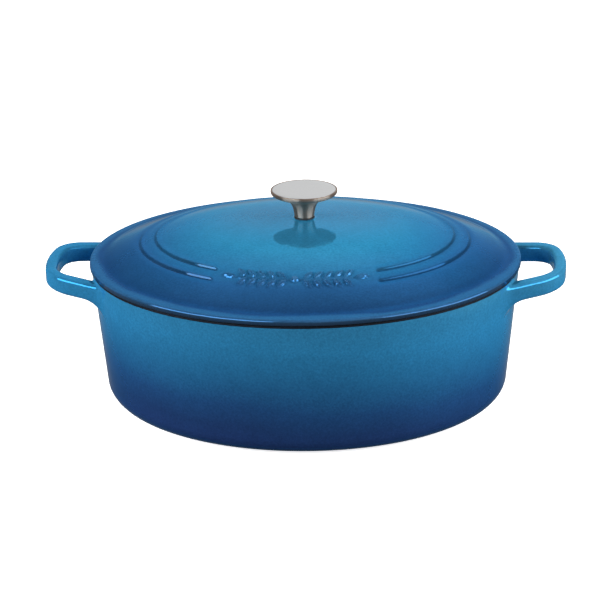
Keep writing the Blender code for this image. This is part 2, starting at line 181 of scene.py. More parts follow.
# ---------------------------------------------------------------- curves and profiles
def along(points, value):
    """Height on a smooth curve through (position, height) points, flat outside them."""
    x = np.array([p[0] for p in points])
    y = np.array([p[1] for p in points])
    slope = np.zeros(len(x))
    slope[1:-1] = (y[2:] - y[:-2]) / (x[2:] - x[:-2])
    slope[-1] = (y[-1] - y[-2]) / (x[-1] - x[-2])
    value = np.clip(np.asarray(value, float), x[0], x[-1])
    i = np.clip(np.searchsorted(x, value, side="right") - 1, 0, len(x) - 2)
    span = x[i + 1] - x[i]
    t = (value - x[i]) / span
    keep = 2 * t**3 - 3 * t**2 + 1
    turns = (t**3 - 2 * t**2 + t) * slope[i] + (t**3 - t**2) * slope[i + 1]
    return keep * y[i] + (1 - keep) * y[i + 1] + span * turns


def ease(value, centre, width):
    """0 before centre, 1 after it, eased over the given width."""
    t = np.clip((value - centre) / width + 0.5, 0, 1)
    return t * t * (3 - 2 * t)


def arc(centre_r, centre_z, radius, start, end, steps):
    """(r, z) points on an arc, with angles in degrees from +r towards +z."""
    angles = np.radians(np.linspace(start, end, steps + 1))
    return list(zip(centre_r + radius * np.cos(angles), centre_z + radius * np.sin(angles)))


def rounded(corners, radius, steps=4):
    """(r, z) outline with each inner corner of an open polyline rounded by a short curve."""
    points = [corners[0]]
    for before, corner, after in zip(corners, corners[1:], corners[2:]):
        a, c, b = (np.array(p, float) for p in (before, corner, after))
        reach = min(radius, np.linalg.norm(a - c) / 2.2, np.linalg.norm(b - c) / 2.2)
        first = c + (a - c) / np.linalg.norm(a - c) * reach
        last = c + (b - c) / np.linalg.norm(b - c) * reach
        for t in np.linspace(0, 1, steps + 1):
            points.append(tuple((1 - t) ** 2 * first + 2 * t * (1 - t) * c + t * t * last))
    points.append(corners[-1])
    return points


def smoothed(points, steps):
    """A smooth curve through every (r, z) point, as (r, z) points."""
    p = np.array([points[0], *points, points[-1]], float)
    out = []
    for i in range(1, len(p) - 2):
        for t in np.linspace(0, 1, steps, endpoint=False):
            a = 2 * p[i] + (p[i + 1] - p[i - 1]) * t
            b = (2 * p[i - 1] - 5 * p[i] + 4 * p[i + 1] - p[i + 2]) * t * t
            c = (3 * p[i] - p[i - 1] - 3 * p[i + 1] + p[i + 2]) * t**3
            out.append(tuple((a + b + c) / 2))
    out.append(tuple(points[-1]))
    return out


def oval(half_length, half_width, height, angles):
    """One ring of points on an ellipse at the given angles."""
    ring = np.empty((len(angles), 3))
    ring[:, 0] = half_length * np.cos(angles)
    ring[:, 1] = half_width * np.sin(angles)
    ring[:, 2] = height
    return ring


def even_angles(count):
    return np.linspace(0, 2 * math.pi, count, endpoint=False)


# ---------------------------------------------------------------- meshes
def skin(name, rows, looks, tube=False):
    """A closed mesh over rows of points.  looks is [(material, number of rows), ...] in order.
    A tube's last row joins its first; otherwise both ends are closed with a face each."""
    count, size = len(rows), len(rows[0])
    points = np.concatenate(rows)
    here = np.arange(size)
    there = (here + 1) % size
    faces = []
    kinds = []
    spans = [k for k, (_, rows_of) in enumerate(looks) for _ in range(rows_of)]
    for row in range(count if tube else count - 1):
        low, high = row * size, (row + 1) % count * size
        quads = np.stack([low + here, low + there, high + there, high + here], axis=1)
        faces += quads.tolist()
        kinds += [spans[min(row, len(spans) - 1)]] * size
    if not tube:
        faces += [here[::-1].tolist(), ((count - 1) * size + here).tolist()]
        kinds += [0, len(looks) - 1]
    mesh = bpy.data.meshes.new(name)
    mesh.from_pydata(points.tolist(), [], faces)
    for look, _ in looks:
        mesh.materials.append(look)
    mesh.polygons.foreach_set("material_index", kinds)
    mesh.validate()
    mesh.shade_smooth()
    mesh.set_sharp_from_angle(angle=SHARP_ANGLE)
    obj = bpy.data.objects.new(name, mesh)
    bpy.context.scene.collection.objects.link(obj)
    return obj


def turned(name, profile, look, tube=False):
    """A solid of revolution about Z from an (r, z) profile that runs up its outside."""
    angles = even_angles(LATHE_SEGMENTS)
    return skin(name, [oval(r, r, z, angles) for r, z in profile], [(look, len(profile))], tube)


def settle(obj, body, slot, *nodes):
    """Puts a finished piece in place of its CAD nodes."""
    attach(obj, body)
    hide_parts(*nodes)


# ---------------------------------------------------------------- node materials
class Look:
    """A material with one Principled shader and short helpers to wire its nodes."""

    def __init__(self, name, **values):
        self.material = bpy.data.materials.new(name)
        self.material.use_nodes = True
        self.tree = self.material.node_tree
        self.shader = self.tree.nodes["Principled BSDF"]
        for socket, value in values.items():
            self.shader.inputs[socket.replace("_", " ")].default_value = value
        self.place = self.node("ShaderNodeTexCoord").outputs["Object"]

    def node(self, kind, inputs=(), **settings):
        made = self.tree.nodes.new(kind)
        for key, value in settings.items():
            setattr(made, key, value)
        for socket, value in dict(inputs).items():
            self.feed(value, made.inputs[socket])
        return made

    def feed(self, value, socket):
        if isinstance(value, bpy.types.NodeSocket):
            self.tree.links.new(value, socket)
        else:
            socket.default_value = value

    def math(self, operation, *values):
        made = self.node("ShaderNodeMath", operation=operation)
        for value, socket in zip(values, made.inputs):
            self.feed(value, socket)
        return made.outputs[0]

    def noise(self, scale, detail=2.0, place=None, roughness=0.5):
        inputs = {"Vector": place or self.place, "Scale": scale, "Detail": detail, "Roughness": roughness}
        return self.node("ShaderNodeTexNoise", inputs).outputs["Fac"]

    def spread(self, value, low, high):
        """Maps noise (mostly 0.3 to 0.7) onto low to high."""
        made = self.node("ShaderNodeMapRange", {"Value": value, 1: 0.3, 2: 0.7, 3: low, 4: high})
        return made.outputs[0]

    def ramp(self, value, stops):
        """Colour along a list of (position, colour)."""
        made = self.node("ShaderNodeValToRGB", {"Fac": value})
        elements = made.color_ramp.elements
        while len(elements) > 1:
            elements.remove(elements[-1])
        elements[0].position = stops[0][0]
        elements[0].color = (*stops[0][1], 1)
        for position, colour in stops[1:]:
            elements.new(position).color = (*colour, 1)
        return made.outputs["Color"]

    def shade(self, colour, factor):
        """Multiplies a colour by a number."""
        made = self.node("ShaderNodeVectorMath", {0: colour, 3: factor}, operation="SCALE")
        return made.outputs[0]

    def axes(self):
        split = self.node("ShaderNodeSeparateXYZ", {0: self.place})
        return split.outputs[0], split.outputs[1], split.outputs[2]

    def bump(self, *layers):
        """Relief of the surface from (height socket, depth in metres) layers."""
        normal = None
        for height, depth in layers:
            inputs = {"Height": height, "Distance": depth, "Strength": 1.0}
            if normal is not None:
                inputs["Normal"] = normal
            normal = self.node("ShaderNodeBump", inputs).outputs["Normal"]
        self.feed(normal, self.shader.inputs["Normal"])

    def set(self, socket, value):
        self.feed(value, self.shader.inputs[socket])


def enamel_surface(look, colour, wave=0.00009, grain=0.17):
    """Speckle in the glass, a slightly uneven gloss and the soft waves of fired enamel."""
    speckle = look.spread(look.noise(620, 3.0, roughness=0.7), 1 - grain, 1 + grain)
    cloud = look.spread(look.noise(90, 2.0), 0.96, 1.04)
    look.set("Base Color", look.shade(look.shade(colour, speckle), cloud))
    look.set("Roughness", look.spread(look.noise(140, 3.0), 0.03, 0.07))
    look.bump((look.noise(240, 1.0), wave), (look.noise(1500, 2.0), wave / 12))


def blue_pot_enamel():
    """Bright blue at the rim, running down to navy at the base, with painted light that makes its right end
    lighter.
    """
    look = Look("pot_blue_enamel", **ENAMEL_GLOSS)
    look.set("Specular Tint", POT_GLEAM)
    x, _, z = look.axes()
    height = look.math("DIVIDE", z, POT_HEIGHT)
    # painted light: the fade shifts along X so the pot's right end is painted lighter
    height = look.math("MULTIPLY_ADD", x, RIGHT_PAINTED_LIGHT_TILT / RIM_HALF_LENGTH, height)
    drift = look.spread(look.noise(14, 2.0), -0.025, 0.025)
    height = look.math("DIVIDE", look.math("ADD", height, drift), FADE_TOP)
    colour = look.ramp(height, [(share / FADE_TOP, colour) for share, colour in POT_COLOURS])
    enamel_surface(look, colour)
    return look.material


def blue_lid_enamel():
    """Bright blue in the middle of the lid, running out to dark blue at its edge."""
    look = Look("lid_blue_enamel", **ENAMEL_GLOSS)
    x, y, _ = look.axes()
    across = look.math("POWER", look.math("DIVIDE", x, LID_HALF_LENGTH), 2.0)
    deep = look.math("POWER", look.math("DIVIDE", y, LID_HALF_WIDTH), 2.0)
    out = look.math("SQRT", look.math("ADD", across, deep))
    drift = look.spread(look.noise(14, 2.0), -0.015, 0.015)
    colour = look.ramp(look.math("ADD", out, drift), LID_COLOURS)
    # painted shade: this attribute makes the colour darker on the steps' slopes and round the flange's edge
    depth = look.node("ShaderNodeAttribute", attribute_name=PAINTED_SHADE).outputs["Fac"]
    thick = look.node("ShaderNodeAttribute", attribute_name=THICK_GLASS).outputs["Fac"]
    look.set("Coat Weight", look.math("ADD", thick, ENAMEL_GLOSS["Coat_Weight"]))
    enamel_surface(look, look.shade(colour, look.math("SUBTRACT", 1.0, depth)))
    return look.material


def cream_enamel():
    """Smooth cream coat inside the pot and under the lid."""
    look = Look("cream_enamel", IOR=1.5)
    colour = look.ramp(look.noise(60, 3.0), [(0.35, (0.72, 0.66, 0.54)), (0.65, (0.78, 0.73, 0.62))])
    enamel_surface(look, colour, grain=0.02)
    return look.material


def black_enamel():
    """Matt black coat of the rim and of the flange's underside; just below the rim outside it is also
    painted shadow under the lid's flange.
    """
    look = Look("matt_black_enamel", IOR=1.5, Specular_IOR_Level=0.10)
    colour = look.ramp(look.noise(900, 3.0), [(0.35, (0.003, 0.004, 0.007)), (0.7, (0.008, 0.010, 0.016))])
    look.set("Base Color", colour)
    look.set("Roughness", look.spread(look.noise(700, 2.0), 0.40, 0.60))
    look.bump((look.noise(1500, 2.0), 0.00002))
    return look.material


def foot_enamel():
    """The ground foot: worn, nearly black."""
    look = Look("ground_foot", IOR=1.5)
    colour = look.ramp(look.noise(400, 4.0), [(0.35, (0.006, 0.010, 0.022)), (0.7, (0.020, 0.028, 0.048))])
    look.set("Base Color", colour)
    look.set("Roughness", look.spread(look.noise(200, 3.0), 0.35, 0.60))
    look.bump((look.noise(700, 3.0), 0.00003))
    return look.material


def spun_steel():
    """The knob's body, turned on a lathe: faint rings round Z that draw highlights out upright."""
    look = Look("spun_steel", Metallic=0.95, Anisotropic=1.0, Anisotropic_Rotation=0.25)
    tangent = look.node("ShaderNodeTangent", direction_type="RADIAL", axis="Z")
    look.set("Tangent", tangent.outputs[0])
    x, y, z = look.axes()
    radius = look.math("SQRT", look.math("ADD", look.math("MULTIPLY", x, x), look.math("MULTIPLY", y, y)))
    angle = look.math("ARCTAN2", y, x)
    stretched = look.node("ShaderNodeCombineXYZ", {0: radius, 1: look.math("MULTIPLY", angle, 0.0004), 2: z})
    rings = look.noise(2600, 3.0, stretched.outputs[0], 0.6)
    look.set("Base Color", look.ramp(rings, [(0.3, (0.40, 0.28, 0.21)), (0.7, (0.49, 0.345, 0.26))]))
    look.set("Roughness", look.spread(rings, 0.32, 0.42))
    look.bump((rings, 0.000003))
    return look.material


def brushed_steel():
    """The knob's top disc, brushed straight across with a fine grain."""
    look = Look("brushed_steel_disc", Metallic=1.0)
    x, y, z = look.axes()
    stretched = look.node("ShaderNodeCombineXYZ", {0: look.math("MULTIPLY", x, 0.06), 1: y, 2: z})
    strokes = look.noise(5200, 3.0, stretched.outputs[0], 0.7)
    look.set("Base Color", look.ramp(strokes, [(0.3, (0.75, 0.75, 0.75)), (0.7, (0.86, 0.86, 0.86))]))
    look.set("Roughness", look.spread(strokes, 0.34, 0.46))
    look.bump((strokes, 0.000006))
    return look.material


def plated_steel():
    """The small fasteners: slightly stained plating."""
    look = Look("plated_steel", Metallic=1.0)
    stain = look.noise(500, 3.0)
    look.set("Base Color", look.ramp(stain, [(0.3, (0.46, 0.46, 0.44)), (0.7, (0.60, 0.60, 0.58))]))
    look.set("Roughness", look.spread(stain, 0.28, 0.45))
    look.bump((look.noise(2500, 2.0), 0.000006))
    return look.material


def black_silicone():
    """The gasket under the knob: matt, with a little dust."""
    look = Look("black_silicone")
    dust = look.noise(1200, 2.0)
    look.set("Base Color", look.ramp(dust, [(0.3, (0.010, 0.010, 0.011)), (0.7, (0.022, 0.022, 0.024))]))
    look.set("Roughness", look.spread(look.noise(800, 2.0), 0.5, 0.7))
    look.bump((look.noise(2500, 2.0), 0.00001))
    return look.material


# a coloured glass whose reflections take on its blue, under a thin clear one
ENAMEL_GLOSS = {
    "IOR": 1.10,
    "Metallic": 0.58,
    "Specular_IOR_Level": 0.15,
    "Specular_Tint": (0.12, 0.60, 0.90, 1.0),
    "Coat_Weight": 0.06,
    "Coat_Roughness": 0.03,
}
POT_GLEAM = (0.42, 0.70, 0.86, 1.0)  # the pot's reflections are paler
RIGHT_PAINTED_LIGHT_TILT = 0.08  # painted light: how much lower the pot's fade runs at its right end, which paints that end lighter, as a share of its height
FADE_TOP = 1.1  # share of the height where the fade ends
PAINTED_SHADE = "enamel_painted_shade"  # painted shade: how much darker the coat's colour is painted on the steps' slopes and round the flange's edge
THICK_GLASS = "enamel_thick_glass"  # how much more clear glass lies over it there
# (share of the pot's height, linear colour)
POT_COLOURS = [
    (0.00, (0.018, 0.044, 0.165)),
    (0.18, (0.016, 0.052, 0.172)),
    (0.34, (0.017, 0.080, 0.236)),
    (0.50, (0.020, 0.138, 0.328)),
    (0.65, (0.024, 0.192, 0.415)),
    (0.81, (0.030, 0.246, 0.505)),
    (0.98, (0.035, 0.248, 0.485)),
    (1.10, (0.054, 0.305, 0.535)),
]
# (how far out towards the lid's edge, linear colour)
LID_COLOURS = [
    (0.00, (0.038, 0.272, 0.490)),
    (0.45, (0.038, 0.260, 0.465)),
    (0.66, (0.028, 0.168, 0.360)),
    (0.76, (0.021, 0.114, 0.295)),
    (0.88, (0.016, 0.082, 0.222)),
    (0.945, (0.012, 0.064, 0.195)),
    (0.968, (0.034, 0.132, 0.300)),
]


# ---------------------------------------------------------------- pot
def wall_inset(height):
    """How far the wall's outside has moved in from the rim at a height."""
    return (POT_HEIGHT - height) * WALL_TAPER


def pot_ring(inset, height, shrink=1.0):
    """A ring of the pot at an inset from its rim, or a share of that ring's size."""
    angles = even_angles(POT_SEGMENTS)
    ring = oval(RIM_HALF_LENGTH - inset, RIM_HALF_WIDTH - inset, height, angles)
    ring[:, :2] *= shrink
    return ring


def pot_rows():
    """Rows of the pot from the middle of its foot, up outside, over the rim and down inside,
    in one list for each coat."""
    low = FOOT_HEIGHT + BASE_CORNER
    flat = wall_inset(low) + BASE_CORNER
    standing = flat + FOOT_INSET
    foot = [pot_ring(standing + FOOT_EDGE, 0.0, share) for share in (0.02, 0.3, 0.6, 0.85, 1.0)]
    foot += [pot_ring(standing, FOOT_EDGE), pot_ring(standing, FOOT_HEIGHT - FOOT_EDGE)]
    outside = [pot_ring(standing - FOOT_EDGE, FOOT_HEIGHT)]
    for r, z in arc(-BASE_CORNER, low, BASE_CORNER, -90, 0, 16):
        outside.append(pot_ring(wall_inset(low) - r, z))
    for height in np.linspace(low + 0.004, POT_HEIGHT - 0.006, 22):
        outside.append(pot_ring(wall_inset(height), height))
    last_blue = POT_HEIGHT - 2 * RIM_EDGE
    outside.append(pot_ring(wall_inset(last_blue), last_blue))
    # outside, the black runs down past the rim's own coat as painted shadow under the lid's flange
    shaded_black_from, black_to = POT_HEIGHT - BLACK_AND_SHADE_OUTSIDE, POT_HEIGHT - BLACK_INSIDE
    middle = POT_HEIGHT - RIM_EDGE
    rim = [pot_ring(wall_inset(shaded_black_from), shaded_black_from)]
    rim += [pot_ring(-r, z) for r, z in arc(-RIM_EDGE, middle, RIM_EDGE, 0, 90, 6)]
    rim += [pot_ring(-r, z) for r, z in arc(RIM_EDGE - WALL, middle, RIM_EDGE, 90, 180, 6)]
    rim.append(pot_ring(WALL + wall_inset(black_to), black_to))
    inside = []
    bottom = FLOOR + CAVITY_CORNER
    for height in np.linspace(POT_HEIGHT - 0.005, bottom + 0.004, 18):
        inside.append(pot_ring(WALL + wall_inset(height), height))
    for r, z in arc(-CAVITY_CORNER, bottom, CAVITY_CORNER, 0, -90, 14):
        inside.append(pot_ring(WALL + wall_inset(bottom) - r, z))
    last = WALL + wall_inset(bottom) + CAVITY_CORNER
    inside += [pot_ring(last, FLOOR, share) for share in (0.85, 0.6, 0.3, 0.02)]
    return foot, outside, rim, inside


def wall_reach(y, height):
    """How far out the wall's outside is, along X, at a sideways distance and a height."""
    inset = wall_inset(height)
    return (RIM_HALF_LENGTH - inset) * np.sqrt(1 - (y / (RIM_HALF_WIDTH - inset)) ** 2)


def fillet(distance, radius):
    """How far a fillet of this radius stands off a bar, at a distance from the wall."""
    near = np.clip(distance / radius, 0, 1)
    return radius * (1 - np.sqrt(1 - (1 - near) ** 2))


def bar_section(width):
    """Rounded rectangle as columns across, up, normal across, normal up, with its top at 0."""
    points = []
    half = width / 2 - BAR_EDGE
    low = BAR_EDGE - BAR_DEPTH
    corners = ((0, half, -BAR_EDGE), (90, -half, -BAR_EDGE), (180, -half, low), (270, half, low))
    for i, (start, across, up) in enumerate(corners):
        for turn in np.radians(np.linspace(start, start + 90, 9)):
            out = (math.cos(turn), math.sin(turn))
            points.append((across + BAR_EDGE * out[0], up + BAR_EDGE * out[1], *out))
        _, next_across, next_up = corners[(i + 1) % 4]
        for share in (0.25, 0.5, 0.75):
            side = points[-1]
            end = (next_across + BAR_EDGE * side[2], next_up + BAR_EDGE * side[3])
            first = (across + BAR_EDGE * side[2], up + BAR_EDGE * side[3])
            middle = [a + (b - a) * share for a, b in zip(first, end)]
            points.append((*middle, side[2], side[3]))
    return np.array(points).T


def bar_top(x):
    """Height of a handle's top face, which rises towards the grip."""
    return HANDLE_TOP + HANDLE_RISE * (x - HANDLE_LEVEL_X)


def root_ring(lean, distance):
    """Section of an arm that follows the wall at a distance from it, with its fillets."""
    across, up, out_across, out_up = bar_section(ARM_WIDTH)
    below = np.where(out_up < 0, ROOT_FILLET_BELOW, ROOT_FILLET_ABOVE)
    across = across + fillet(distance, ROOT_FILLET_BESIDE) * out_across
    up = up + fillet(distance, below) * out_up
    x = np.full(len(across), HANDLE_ROOT_X)
    for _ in range(12):
        y = (x - HANDLE_ROOT_X - across * math.sin(lean)) * math.tan(lean)
        y = y - HANDLE_ROOT_HALF_WIDTH - across * math.cos(lean)
        z = bar_top(x) + up
        x = wall_reach(y, z) + distance
    return np.stack([x, y, z], axis=1)


def loop_ring(x, y, heading, width):
    """Section of the loop square to its centreline."""
    across, up, _, _ = bar_section(width)
    px = x + across * math.sin(heading)
    return np.stack([px, y - across * math.cos(heading), bar_top(px) + up], axis=1)


def loop_line():
    """(x, y, heading) along the centreline, from the front arm's end to the grip's middle."""
    bow_x = HANDLE_TIP - GRIP_WIDTH / 2 - HANDLE_BOW
    ahead, aside = math.cos(HANDLE_LEAN), math.sin(HANDLE_LEAN)
    # the corner's centre, on a line alongside the arm, where its arc meets the grip's
    x = HANDLE_ROOT_X - HANDLE_CORNER * aside
    y = HANDLE_CORNER * ahead - HANDLE_ROOT_HALF_WIDTH
    apart = HANDLE_BOW - HANDLE_CORNER
    near = (x - bow_x) * ahead + y * aside
    reach = math.sqrt(near**2 - (x - bow_x) ** 2 - y**2 + apart**2) - near
    x += reach * ahead
    y += reach * aside
    spread = math.asin(-y / apart)
    turn = math.pi / 2 - spread - HANDLE_LEAN
    line = []
    for i in range(CORNER_STEPS + 1):
        heading = HANDLE_LEAN + turn * i / CORNER_STEPS
        line.append((x + HANDLE_CORNER * math.sin(heading), y - HANDLE_CORNER * math.cos(heading), heading))
    for i in range(1, GRIP_STEPS + 1):
        heading = math.pi / 2 - spread * (1 - i / GRIP_STEPS)
        line.append((bow_x + HANDLE_BOW * math.sin(heading), -HANDLE_BOW * math.cos(heading), heading))
    return line


def handle_rows():
    """Sections of a loop from its front root to its back root."""
    stations = [-ROOT_BURIED, *(ROOT_REACH * np.linspace(0, 1, 16) ** 2)]
    half = [root_ring(HANDLE_LEAN, distance) for distance in stations]
    for i, (x, y, heading) in enumerate(loop_line()):
        narrowed = min(1.0, i / CORNER_STEPS)
        half.append(loop_ring(x, y, heading, ARM_WIDTH + (GRIP_WIDTH - ARM_WIDTH) * narrowed))
    mirrored = [ring * (1, -1, 1) for ring in reversed(half[:-1])]
    return half + mirrored


def unite(obj, other):
    """Joins another closed shape into obj for good."""
    modifier = obj.modifiers.new("unite", "BOOLEAN")
    modifier.operation = "UNION"
    modifier.solver = "EXACT"
    modifier.object = other
    graph = bpy.context.evaluated_depsgraph_get()
    joined = bpy.data.meshes.new_from_object(obj.evaluated_get(graph))
    obj.modifiers.clear()
    obj.data = joined
    bpy.data.objects.remove(other)


def make_pot(blue, cream, black, foot_look):
    foot, outside, rim, inside = pot_rows()
    looks = [(foot_look, len(foot)), (blue, len(outside)), (black, len(rim)), (cream, len(inside))]
    pot = skin("pot_casting", foot + outside + rim + inside, looks)
    for side in (1, -1):
        rows = [ring * (side, 1, 1) for ring in handle_rows()]
        if side < 0:
            rows.reverse()
        unite(pot, skin("handle_shape", rows[::-1], [(blue, len(rows))]))
    for i, look in enumerate((foot_look, blue, black, cream)):
        pot.data.materials[i] = look
    pot.data.shade_smooth()
    pot.data.set_sharp_from_angle(angle=SHARP_ANGLE)
    settle(pot, "pot", "pot_enamel", "pot")


# ---------------------------------------------------------------- lid
def lid_angles():
    """Angles round the oval, crowded at the front where the leaf relief is."""
    dense = int(2 * FRONT_SPAN * (LID_HALF_LENGTH - RELIEF_INSET) / RELIEF_SPACING / ALONG_ROWS)
    front = -math.pi / 2
    near = np.linspace(front - FRONT_SPAN, front + FRONT_SPAN, dense, endpoint=False)
    far = np.linspace(front + FRONT_SPAN, front - FRONT_SPAN + 2 * math.pi, SIDE_SEGMENTS, endpoint=False)
    return np.concatenate([near, far])


def leaf(along_stem, across, foot, lean, length, width):
    """Depth inside a pointed leaf (negative outside it) and distance from its midrib."""
    dx, dy = along_stem - foot, across
    forward = dx * math.cos(lean) + dy * math.sin(lean) - length / 2
    aside = dy * math.cos(lean) - dx * math.sin(lean)
    radius = (length**2 + width**2) / (4 * width)
    reach = np.hypot(forward, np.abs(aside) + radius - width / 2)
    return radius - reach, np.abs(aside)


def garland(x, inset):
    """Height of the leaf relief: two sprigs that start at a berry in the middle."""
    x = x - RELIEF_MIDDLE
    stem = np.abs(x)
    across = RELIEF_INSET - inset
    height = np.zeros_like(x)

    def raise_to(depth, level):
        nonlocal height
        height = np.maximum(height, level * ease(depth, RELIEF_EDGE / 2, RELIEF_EDGE))

    def raise_leaf(foot, lean):
        depth, rib = leaf(stem, across, foot, lean, LEAF_LENGTH, LEAF_WIDTH)
        groove = 1 - MIDRIB_DEPTH * np.exp(-((rib / MIDRIB_WIDTH) ** 2))
        raise_to(depth, RELIEF_HEIGHT * groove)

    for k in range(LEAF_PAIRS):
        raise_leaf(LEAF_START + LEAF_PITCH * k, LEAF_LEAN)
        raise_leaf(LEAF_START + LEAF_PITCH * k, -LEAF_LEAN)
    end = LEAF_START + LEAF_PITCH * LEAF_PAIRS
    raise_leaf(end, 0.0)
    stem_depth = STEM_HALF_WIDTH + RELIEF_EDGE / 2 - np.abs(across)
    raise_to(np.where(stem < end, stem_depth, -1.0), STEM_SHARE * RELIEF_HEIGHT)
    raise_to(BERRY_RADIUS - np.hypot(x, across), BERRY_SHARE * RELIEF_HEIGHT)
    return height


def step_runs(x, y, left, right):
    """How far a step has risen at each place: 1 all round, 0 in its gap at the front."""
    beyond = np.where(x < 0, -x - left, x - right)
    return np.where(y < 0, ease(beyond, 0.0, STEP_GAP_FADE), 1.0)


def shoulder_row(inset, angles):
    """A ring of the lid's top at an inset from its edge, with the steps and the relief."""
    ring = oval(LID_HALF_LENGTH - inset, LID_HALF_WIDTH - inset, 0.0, angles)
    x, y = ring[:, 0], ring[:, 1]
    rise = along(LID_PROFILE, inset) + np.zeros_like(x)
    for step, left, right in STEPS:
        runs = step_runs(x, y, left, right)
        rise += runs * STEP_HEIGHT * (ease(inset, step, STEP_WIDTH) - ease(inset, step, STEP_FADE))
    if abs(inset - RELIEF_INSET) < RELIEF_REACH:
        rise += np.where(y < 0, garland(x, inset), 0.0)
    ring[:, 2] = FLANGE_TOP + rise
    return ring


def crown_row(share, angles, drop=0.0):
    """A ring on the dome between the inner step (share 0) and the knob's seat (share 1)."""
    half_length = LID_HALF_LENGTH - CROWN_INSET
    half_width = LID_HALF_WIDTH - CROWN_INSET
    ring = oval(
        half_length + (SEAT_RADIUS - half_length) * share,
        half_width + (SEAT_RADIUS - half_width) * share,
        0.0,
        angles,
    )
    out = np.hypot(ring[:, 0] / half_length, ring[:, 1] / half_width)
    edge = FLANGE_TOP + along(LID_PROFILE, CROWN_INSET)
    top = SEAT_TOP - SEAT_HEIGHT
    ring[:, 2] = top - (top - edge) * out**CROWN_POWER - drop
    return ring


def lid_rows(angles):
    """Rows of the lid's top, from the screw hole out to the flange's edge, then of its
    underside back to the screw hole."""

    def level(inset, height):
        return oval(LID_HALF_LENGTH - inset, LID_HALF_WIDTH - inset, height, angles)

    def disc(radius, height):
        return oval(radius, radius, height, angles)

    top = [disc(r, SEAT_TOP) for r in (SCREW_HOLE_RADIUS, SEAT_MIDDLE, SEAT_RADIUS - SEAT_EDGE)]
    top += [crown_row(share, angles) for share in np.linspace(1, 0, 40, endpoint=False)]
    insets = [np.arange(CROWN_INSET, RELIEF_INSET - RELIEF_REACH, -RELIEF_SPACING)]
    for step in (INNER_STEP_INSET, OUTER_STEP_INSET):
        insets.append(np.linspace(step + STEP_BAND, step - STEP_BAND, 11))
    insets.append(np.linspace(RELIEF_INSET - RELIEF_REACH - ROW_GAP, FLANGE_WIDTH, 26))
    top += [shoulder_row(inset, angles) for inset in np.sort(np.concatenate(insets))[::-1]]
    flange = np.linspace(FLANGE_WIDTH - 2 * ROW_GAP, FLANGE_EDGE + ROW_GAP, 5)
    top += [shoulder_row(inset, angles) for inset in flange]
    for r, z in arc(FLANGE_EDGE, FLANGE_TOP - FLANGE_FALL - FLANGE_EDGE, FLANGE_EDGE, 90, 180, 7):
        top.append(level(r, z))
    top.append(level(0.0, FLANGE_BOTTOM + 2 * FLANGE_UNDER_EDGE))
    outer = LID_HALF_LENGTH - RIM_HALF_LENGTH + WALL + SKIRT_CLEARANCE
    inner = outer + SKIRT_WIDTH
    edge = [(0.0, FLANGE_BOTTOM + FLANGE_UNDER_EDGE), (FLANGE_UNDER_EDGE, FLANGE_BOTTOM)]
    edge += [(outer, FLANGE_BOTTOM), (outer, SKIRT_LOW), (inner, SKIRT_LOW)]
    edge.append((inner + SKIRT_ROOT[0], SKIRT_LOW + SKIRT_ROOT[1]))
    seat = [level(inset, z) for inset, z in rounded(edge, CORNER_ROUNDING)]
    under = []
    for inset in np.linspace(UNDERSIDE_FROM, CROWN_INSET, 20):
        height = FLANGE_TOP + along(LID_PROFILE, inset) - LID_THICKNESS
        under.append(level(inset, height))
    under += [crown_row(share, angles, LID_THICKNESS) for share in np.linspace(0.04, 0.9, 22)]
    under.append(disc(UNDER_PAD_RADIUS, UNDER_PAD + UNDER_PAD_EDGE[1]))
    under += [disc(r, UNDER_PAD) for r in (UNDER_PAD_RADIUS - UNDER_PAD_EDGE[0], SCREW_HOLE_RADIUS)]
    return top, seat, under


def paint_shade_and_mark_glass(mesh):
    """Marks the painted shade, how much darker the coat's colour is painted at each step and round the
    flange's edge, and how much clear glass lies over it there, on the leaves and in the middle of the lid."""
    places = np.empty(len(mesh.vertices) * 3)
    mesh.vertices.foreach_get("co", places)
    x, y, z = places.reshape(-1, 3).T
    inset = ring_inset(x, y)
    # painted shade: darker colour on each step's slope and round the flange's edge
    dark = np.zeros_like(x)
    for step, left, right in STEPS:
        runs = step_runs(x, y, left, right)
        near = (inset - step + STEP_PAINTED_SHADE_SHIFT) / STEP_PAINTED_SHADE_WIDTH
        dark = np.maximum(dark, STEP_PAINTED_SHADE * runs * np.exp(-(near**2)))
    edge = ease(FLANGE_TOP - z, FLANGE_EDGE, FLANGE_EDGE)
    dark = np.maximum(dark, EDGE_PAINTED_SHADE * edge * (inset < FLANGE_EDGE))
    mesh.attributes.new(PAINTED_SHADE, "FLOAT", "POINT").data.foreach_set("value", dark)
    lit = np.where(inset < FLANGE_EDGE, 1.0, ease(-x, 0.0, THICK_FADE))
    thick = np.minimum(dark / STEP_PAINTED_SHADE, 1.0) * lit * ease(-y, THICK_FROM, THICK_FADE)
    relief = garland(x, inset) * (y < 0) * (np.abs(inset - RELIEF_INSET) < RELIEF_REACH)
    thick = np.clip(np.maximum(thick, relief / RELIEF_HEIGHT), 0, 1) * THICK_WEIGHT
    thick = np.maximum(thick, CROWN_THICK * ease(inset, (CROWN_INSET + LID_HALF_WIDTH) / 2, CROWN_INSET))
    mesh.attributes.new(THICK_GLASS, "FLOAT", "POINT").data.foreach_set("value", thick)


def ring_inset(x, y):
    """Inset from the lid's edge of the ring that passes through each place."""
    low = np.zeros_like(x)
    high = np.full_like(x, LID_HALF_WIDTH - 0.0001)
    for _ in range(24):
        middle = (low + high) / 2
        outside = np.hypot(x / (LID_HALF_LENGTH - middle), y / (LID_HALF_WIDTH - middle)) > 1
        high = np.where(outside, middle, high)
        low = np.where(outside, low, middle)
    return low


